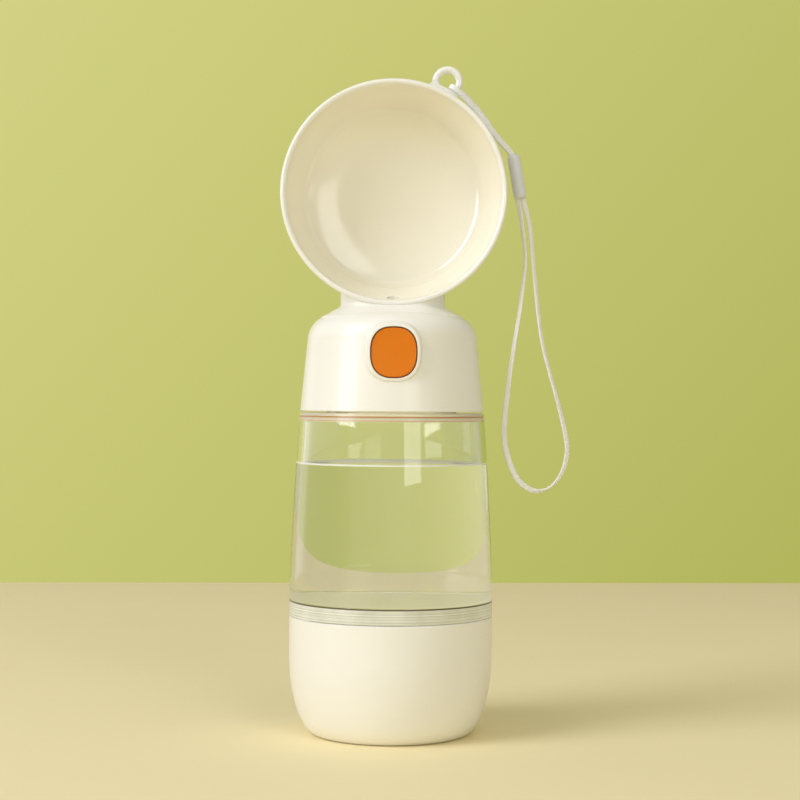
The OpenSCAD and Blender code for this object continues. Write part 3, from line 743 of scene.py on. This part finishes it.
# %% Geometry Nodes kit
class Tree(Nodes):
    """A geometry tree with named inputs."""

    def __init__(self, name, inputs):
        self.tree = bpy.data.node_groups.new(name, "GeometryNodeTree")
        faces = self.tree.interface
        faces.new_socket("Geometry", in_out="INPUT", socket_type="NodeSocketGeometry")
        faces.new_socket("Geometry", in_out="OUTPUT", socket_type="NodeSocketGeometry")
        for key, kind in inputs.items():
            faces.new_socket(key, in_out="INPUT", socket_type="NodeSocket" + kind)
        self.start = self.tree.nodes.new("NodeGroupInput")
        self.end = self.tree.nodes.new("NodeGroupOutput")

    def __getitem__(self, name):
        return Wire(self, self.start.outputs[name])

    def add(self, kind, settings=None, inputs=None, output=0):
        return self.node("GeometryNode" + kind, settings, inputs, output)

    def scaled(self, vector, length):
        return self.node("ShaderNodeVectorMath", {"operation": "SCALE"}, {0: vector, "Scale": length})

    def finish(self, geometry, material):
        real = self.add("RealizeInstances", inputs={0: geometry})
        smooth = self.add("SetShadeSmooth", inputs={"Geometry": real})
        made = self.add("SetMaterial", inputs={"Geometry": smooth, "Material": material})
        self.tree.links.new(made.socket, self.end.inputs[0])
        return self.tree


def grown(name, source, group, values, material, body):
    """Runs a tree on a source object and keeps the result as a plain mesh piece."""
    modifier = source.modifiers.new("tree", "NODES")
    modifier.node_group = group
    sockets = {item.name: item.identifier for item in group.interface.items_tree if item.in_out == "INPUT"}
    for key, value in values.items():
        modifier[sockets[key]] = value
    bpy.context.view_layer.update()
    mesh = bpy.data.meshes.new_from_object(source.evaluated_get(bpy.context.evaluated_depsgraph_get()))
    mesh.name = name
    bpy.data.objects.remove(source)
    return add_piece(name, mesh, material, body)


print("tree kit ready")

# %% The braid's tree
YARNS = 6
ROUND_EDGE, OUT_EDGE = 0.82, 1.04  # how round a yarn turns at the ribbon's edge, and how far out
EDGE_RUN = 3.4 * YARNS  # how soon a yarn comes up from the edge
YARN_SIDES = 5
braid = Tree("flat_braid", {"Yarns": "Int", "Width": "Float", "Thickness": "Float", "Repeat": "Float",
    "Yarn": "Float", "Step": "Float", "Facing": "Vector"})
even = braid.add("ResampleCurve", {"mode": "LENGTH"}, {"Curve": braid["Geometry"], "Length": braid["Step"]})
copies = braid.add("DuplicateElements", {"domain": "SPLINE"}, {"Geometry": even, "Amount": braid["Yarns"]})
index = Wire(braid, copies.socket.node.outputs["Duplicate Index"])
distance = braid.add("SplineParameter", output="Length")
phase = braid.maths("FRACT", distance / braid["Repeat"] + index / braid["Yarns"])
x = phase - 0.5
size = braid.maths("ABSOLUTE", x)
triangle = (size - 0.25) * 4.0
side = braid.maths("SINE", triangle * (math.pi / 2 * ROUND_EDGE)) * OUT_EDGE


def ramp(value):
    """Runs up from 0 to 1 within a crossing of the edge."""
    return braid.maths("MINIMUM", value * EDGE_RUN, 1.0)


wave = braid.maths("COSINE", x * (math.tau * YARNS))
dive = wave * braid.maths("SIGN", x) * (ramp(size) * ramp(0.5 - size))
tangent = braid.add("InputTangent")
leaning = braid.vector("PROJECT", braid["Facing"], tangent)
square_on = braid.vector("NORMALIZE", braid.vector("SUBTRACT", braid["Facing"], leaning))
flat = braid.node("ShaderNodeVectorRotate", {"rotation_type": "AXIS_ANGLE"}, {"Vector": square_on,
    "Axis": tangent, "Angle": braid.add("InputCurveTilt")})
half_width = (braid["Width"] - braid["Yarn"]) * 0.5
half_depth = (braid["Thickness"] - braid["Yarn"]) * 0.5
sideways = braid.scaled(braid.vector("CROSS_PRODUCT", tangent, flat), side * half_width)
inwards = braid.scaled(flat, dive * half_depth)
moved = braid.add("SetPosition", inputs={"Geometry": copies,
    "Offset": braid.vector("ADD", sideways, inwards)})
strand = braid.add("CurvePrimitiveCircle", inputs={"Resolution": YARN_SIDES, "Radius": braid["Yarn"] * 0.5})
tubes = braid.add("CurveToMesh", inputs={"Curve": moved, "Profile Curve": strand, "Fill Caps": True})
braid_tree = braid.finish(tubes, white_yarn)
print("braid tree has", len(braid_tree.nodes), "nodes")

# %% [markdown]
# ## Laying the cord
# A ribbon has a flat side, and where it points is part of the look: towards the eye beside the bowl and at
# the loop's lower left, and nearly edge-on along the left-hand strand and past the lowest point, where the
# ribbon bends the easy way. The curve's tilt carries that turn.

# %% Cord
CORD_W, CORD_T = 2.25 * MM, 1.15 * MM
TWIST = [(0, 0), (47, 0), (64, 66), (90, 66), (112, 58), (126, 38), (139, 12), (152, 0), (162, 6),
    (167, 40), (172, 84), (178, 52), (186, 30), (194, 34), (210, 58), (236, 58), (258, 50), (276, 44),
    (292, 0), (340, 0)]  # millimetres along the cord, and degrees


def twist_at(distance):
    """The ribbon's turn, in radians, at a distance in metres along the cord."""
    for (start, low), (end, high) in zip(TWIST, TWIST[1:]):
        if distance <= end * MM:
            return math.radians(low + (high - low) * (distance / MM - start) / (end - start))
    return math.radians(TWIST[-1][1])


def line_object(name, points):
    """A curve object for the braid's tree, with the ribbon's turn as its tilt."""
    curve = bpy.data.curves.new(name, "CURVE")
    curve.dimensions = "3D"
    spline = curve.splines.new("POLY")
    spline.points.add(len(points) - 1)
    distance = 0.0
    for i, place in enumerate(points):
        distance += (place - points[i - 1]).length if i else 0.0
        spline.points[i].co = (*place, 1)
        spline.points[i].tilt = twist_at(distance)
    return placed(name, curve)


braid_values = {"Yarns": YARNS, "Width": CORD_W, "Thickness": CORD_T, "Repeat": 4.8 * MM, "Yarn": 0.64 * MM,
    "Step": 0.17 * MM, "Facing": (0.0, -1.0, 0.0)}
cord_source = line_object("cord_line", cord_line)
cord = grown("lanyard_braid", cord_source, braid_tree, braid_values, white_yarn, "head")
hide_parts("lanyard_cord")

# %% [markdown]
# ## The sleeve
# A short oval tube of milky plastic holds the two strands together. Its ends are rounded, and a low ridge
# runs along its face, where the strands press it out. A bevelled cylinder would lack the ridge, so the rings
# are drawn point by point, down the outside and back up the bore.

# %% Sleeve
SLEEVE_TOP, SLEEVE_FOOT = Vector((44.5, -5, 215.7)) * MM, Vector((47.2, -5, 199.5)) * MM
END_R, BELLY, BELLY_POWER = 2.0, 0.48, 14  # radius at the ends, what it gains between, and how suddenly
LIPS = [(0.995, 1.72), (1.0, 1.86)]  # share of the half length, and radius
BORE_TO, BORE_R = 0.6, 1.7
RIDGE, RIDGE_WIDTH, OVAL = 0.2, 0.14, 0.96


def sleeve_outline(rings=28):
    places = [-1 + 2 * i / rings for i in range(1, rings)]
    belly = [(t, END_R + BELLY * (1 - abs(t) ** BELLY_POWER)) for t in places]
    start = [(-t, radius) for t, radius in LIPS]
    return start + belly + LIPS[::-1] + [(BORE_TO, BORE_R), (-BORE_TO, BORE_R)]


def sleeve_mesh(name, steps=48):
    axis = (SLEEVE_FOOT - SLEEVE_TOP).normalized()
    forward = Vector((0, -1, 0))
    sideways = forward.cross(axis).normalized()
    half = (SLEEVE_FOOT - SLEEVE_TOP).length / 2
    middle = (SLEEVE_TOP + SLEEVE_FOOT) / 2
    rings = []
    for t, radius in sleeve_outline():
        ring = []
        for j in range(steps):
            a = math.tau * j / steps
            ridge = RIDGE * math.exp(-(math.sin(a / 2) / RIDGE_WIDTH) ** 2) if radius > END_R else 0.0
            reach = (radius + ridge) * MM
            ring.append(middle + axis * (t * half)
                + forward * (reach * math.cos(a)) + sideways * (reach * OVAL * math.sin(a)))
        rings.append(ring)
    return mesh_of_rings(name, rings, steps, closed=True)


sleeve = add_piece("cord_sleeve", sleeve_mesh("cord_sleeve"), milky_plastic, "head")
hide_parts("lanyard_bead")

# %% [markdown]
# ## Screw threads
# The bottle screws into the cup and the head screws onto the bottle. The solid model leaves the turns out,
# so they are made here. A thread is a helix with a low trapezoid carried along it, which thins out to
# nothing at both ends. Curve to Mesh does that in a few nodes, and the same tree serves all four. The inner
# threads start half a pitch higher, so that their turns lie between the outer ones.

# %% The thread's tree
TAPER = 14.0  # the thread reaches its full height after a fourteenth of its length
TIP = 0.05  # share of its height at the very ends
CREST_SHARE = 0.4  # the crest's width as a share of the foot's
thread = Tree("screw_thread", {"Radius": "Float", "Pitch": "Float", "Turns": "Float", "Crest": "Float",
    "Width": "Float", "Start": "Float", "Heading": "Float"})
helix = thread.add("CurveSpiral", inputs={"Resolution": 72, "Rotations": thread["Turns"],
    "Start Radius": thread["Radius"], "End Radius": thread["Radius"],
    "Height": thread["Pitch"] * thread["Turns"]})
upright = thread.add("SetCurveNormal", {"mode": "Z_UP"}, {"Curve": helix})
along_it = thread.add("SplineParameter")
from_end = thread.maths("MINIMUM", along_it, 1.0 - along_it)
thinned = thread.add("SetCurveRadius", inputs={"Curve": upright,
    "Radius": thread.maths("MINIMUM", 1.0, TIP + from_end * TAPER)})
ridge = thread.add("CurvePrimitiveQuadrilateral", {"mode": "TRAPEZOID"}, {"Height": thread["Crest"],
    "Bottom Width": thread["Width"], "Top Width": thread["Width"] * CREST_SHARE, "Offset": 0.0})
pointed = thread.add("Transform", inputs={"Geometry": ridge,
    "Rotation": thread.node("ShaderNodeCombineXYZ", inputs={"Z": thread["Heading"]})})
turns_made = thread.add("CurveToMesh", inputs={"Curve": thinned, "Profile Curve": pointed, "Fill Caps": True})
raised = thread.add("Transform", inputs={"Geometry": turns_made,
    "Translation": thread.node("ShaderNodeCombineXYZ", inputs={"Z": thread["Start"]})})
thread_tree = thread.finish(raised, clear_plastic)
print("thread tree has", len(thread_tree.nodes), "nodes")

# %% Four threads
CREST, FOOT, ROOTED = 1.15, 2.0, 0.15  # height, width at the foot, and how deep it is sunk in the wall
SPIGOT_START, MOUTH_START = 34.9, 121.0
SPIGOT_PITCH, MOUTH_PITCH = 4.0, 3.5
INNER_SPIGOT, INNER_MOUTH = SPIGOT_START + SPIGOT_PITCH / 2, MOUTH_START + MOUTH_PITCH / 2
THREADS = {  # name: root radius, 1 outwards or -1 inwards, pitch, turns, start height, finish, slot, body
    "spigot_thread": (34.1, 1, SPIGOT_PITCH, 1.9, SPIGOT_START, clear_plastic, "clear_plastic", "bottle"),
    "cup_thread": (35.5, -1, SPIGOT_PITCH, 1.3, INNER_SPIGOT, cream_plastic, "cream_plastic", "cup"),
    "mouth_thread": (24.0, 1, MOUTH_PITCH, 1.7, MOUTH_START, clear_plastic, "clear_plastic", "bottle"),
    "cap_thread": (25.4, -1, MOUTH_PITCH, 1.5, INNER_MOUTH, white_plastic, "white_plastic", "head"),
}


def seed(name):
    """An empty mesh object, for a tree that makes all its own geometry."""
    return placed(name, bpy.data.meshes.new(name))


for name, (root, way, pitch, rounds, start, finish_of_it, slot, body) in THREADS.items():
    values = {"Radius": (root + way * (CREST / 2 - ROOTED)) * MM, "Pitch": pitch * MM, "Turns": rounds,
        "Crest": CREST * MM, "Width": FOOT * MM, "Start": start * MM, "Heading": -way * math.pi / 2}
    made = grown(name, seed(name + "_seed"), thread_tree, values, finish_of_it, body)
    made.data.set_sharp_from_angle(angle=SHARP_EDGE)

# %% [markdown]
# ## The button's spring
# A wound spring pushes the button out. Its turns close up when the button goes in. Here it is made once, at
# rest, and moves with the head.

# %% Spring
SPRING_FRONT, SPRING_BACK = -31.95, -21.45
SPRING_R, WIRE_D, SPRING_TURNS = 3.65, 0.7, 6.0
BUTTON_Z = 141.3  # height of the button's middle over the table
spring_length = SPRING_BACK - SPRING_FRONT

coil = Tree("wound_spring", {"Radius": "Float", "Length": "Float", "Turns": "Float", "Wire": "Float",
    "Place": "Vector"})
winding = coil.add("CurveSpiral", inputs={"Resolution": 40, "Rotations": coil["Turns"],
    "Start Radius": coil["Radius"], "End Radius": coil["Radius"], "Height": coil["Length"]})
wire_profile = coil.add("CurvePrimitiveCircle", inputs={"Resolution": 12, "Radius": coil["Wire"] * 0.5})
wire = coil.add("CurveToMesh", inputs={"Curve": winding, "Profile Curve": wire_profile, "Fill Caps": True})
lying = coil.add("Transform", inputs={"Geometry": wire, "Translation": coil["Place"],
    "Rotation": (math.pi / 2, 0.0, 0.0)})
coil_values = {"Radius": SPRING_R * MM, "Length": (spring_length - WIRE_D) * MM, "Turns": SPRING_TURNS,
    "Wire": WIRE_D * MM, "Place": (0.0, (SPRING_BACK - WIRE_D / 2) * MM, BUTTON_Z * MM)}
coil_tree = coil.finish(lying, steel)
spring = grown("wound_spring", seed("spring_seed"), coil_tree, coil_values, steel, "head")
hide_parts("button_spring")
travel = next(joint for joint in frame["joints"] if joint["name"] == "button_press")["range_m"][1] / MM
1 - travel / spring_length
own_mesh(spring)
print("the spring closes from", round(spring_length, 2), "to", round(spring_length - travel, 2), "mm")

# %% [markdown]
# ## The table
# The table is a plain pale sheet that ends behind the bottle, as in the photograph, where the wall begins. It
# is turned a little, which gives its far edge the slope that it has there.

# %% Table
TABLE_REACH = 0.561
TABLE_SIDE = 0.8
TABLE_FRONT = -0.9
TABLE_TURN = Matrix.Rotation(math.radians(3.1), 4, "Z")
FLOOR_COLOUR = (0.96, 0.845, 0.525)
FLOOR_DEEP = tuple(c * 0.985 for c in FLOOR_COLOUR)
PAPER_CLOUD, PAPER_GRAIN = 90 * MM, 0.8 * MM

plain = Finish("table_paper")
paper = plain.run(plain.noise(PAPER_CLOUD, detail=3), 0, 1)
table_paper = plain.done(plain.shader(Roughness=0.7, Base_Color=plain.tint(paper, FLOOR_COLOUR, FLOOR_DEEP),
    Normal=plain.bump(plain.noise(PAPER_GRAIN), depth=0.02 * MM, strength=0.4)))
table_mesh = bpy.data.meshes.new("table")
corners = [(-TABLE_SIDE, TABLE_FRONT), (TABLE_SIDE, TABLE_FRONT), (TABLE_SIDE, TABLE_REACH),
    (-TABLE_SIDE, TABLE_REACH)]
table_mesh.from_pydata([SWING @ TABLE_TURN @ Vector((x, y, 0)) for x, y in corners], [], [(0, 1, 2, 3)])
table = add_piece("table", table_mesh, table_paper, None)

# %% [markdown]
# ## The backdrop
# The wall behind is the world's colour, for rays from the camera and for rays that glass and gloss send on
# towards it, with painted light and shade: brighter at the upper left and darker towards the lower right. A
# real wall could stand there, but it would throw green light on the table. In all other directions gloss and
# glass see a bright room, and rays that only gather light see an even, slightly warm studio light.

# %% World
WALL_LIGHT = (0.66, 0.65, 0.235)
WALL_DARK = (0.44, 0.46, 0.105)
DARKER_RIGHT, LIGHTER_UP = 1.36, 1.14
DROP_FROM, DROP_TO = -0.545, 0.455
AHEAD_FROM, AHEAD_TO = 0.72, 0.84  # how straight ahead a ray must go to meet the wall

studio = Finish("studio", bpy.data.worlds, "World")
bpy.context.scene.world = studio.material
toward = studio.add("SeparateXYZ", inputs={"Vector": studio.place()}).socket.node  # the ray's direction
across, ahead, up = (Wire(studio, socket) for socket in toward.outputs)
# painted light and shade on the wall: brighter at the upper left, darker at the lower right
painted_wall_falloff = studio.run(DARKER_RIGHT * across - LIGHTER_UP * up, 0, 1, DROP_FROM, DROP_TO)
wall = studio.add("Background", inputs={"Color": studio.tint(painted_wall_falloff, WALL_LIGHT, WALL_DARK)})
even_light = studio.add("Background", inputs={"Color": (1.0, 0.935, 0.6, 1), "Strength": 0.325})
bright_room = studio.add("Background", inputs={"Color": (1.0, 0.99, 0.93, 1), "Strength": 0.55})
camera_ray = studio.add("LightPath", output="Is Camera Ray")
sent_on = studio.maths("MAXIMUM", studio.add("LightPath", output="Is Glossy Ray"),
    studio.add("LightPath", output="Is Transmission Ray"))
on_wall = studio.maths("MAXIMUM", camera_ray, sent_on * studio.run(ahead, 0, 1, AHEAD_FROM, AHEAD_TO))
studio.done(studio.blend(on_wall, studio.blend(sent_on, even_light, bright_room), wall))
print("world:", studio.material.name)

# %% [markdown]
# ## The lamps
# A large key lamp at the upper left makes the bright left sides and the soft shadow at the right, and shows
# as the crisp line in the bowl's corner. A weaker fill at the right shows as the broad crescent in the bowl.
# The others show as pale strips more than they light anything. A lamp's level is what it adds to a white card
# that faces it, so its size and distance can change and the light stays as bright.

# %% Lamps
LAMP_TARGET = Vector((0, 0, 0.13))
KEY_COLOUR = (1, 1.015, 1.12)
LAMPS = {  # name: azimuth, elevation, distance, width, height, level
    "key": (-60, 31, 2.0, 0.92, 1.84, 0.64),
    "fill": (24.5, 24, 1.8, 0.69, 1.39, 0.2),
    "left_card": (-130, 8, 1.2, 0.44, 1.0, 0.05),
    "front_card": (-15, 12, 1.6, 2.4, 1.4, 0.06),
    "top": (10, 78, 1.6, 1.0, 1.0, 0.1),
    "sill": (50, 6.2, 1.2, 0.43, 0.045, 0.016),
}


def softbox(name, azimuth, elevation, distance, width, height, level):
    """A rectangular lamp that faces the bottle."""
    a, e = math.radians(azimuth), math.radians(elevation)
    out = Vector((math.sin(a) * math.cos(e), -math.cos(a) * math.cos(e), math.sin(e)))
    lamp = bpy.data.lights.new(name, "AREA")
    lamp.shape = "RECTANGLE"
    lamp.size, lamp.size_y = width, height
    lamp.energy = level * (math.pi * distance) ** 2
    holder = placed(name, lamp)
    holder.location = LAMP_TARGET + out * distance
    holder.rotation_mode = "QUATERNION"
    holder.rotation_quaternion = out.to_track_quat("Z", "Y")
    return lamp


lamps = {name: softbox(name, *row) for name, row in LAMPS.items()}
lamps["key"].color = KEY_COLOUR
bpy.context.scene.view_settings.view_transform = "Standard"
print("lamps:", list(lamps))
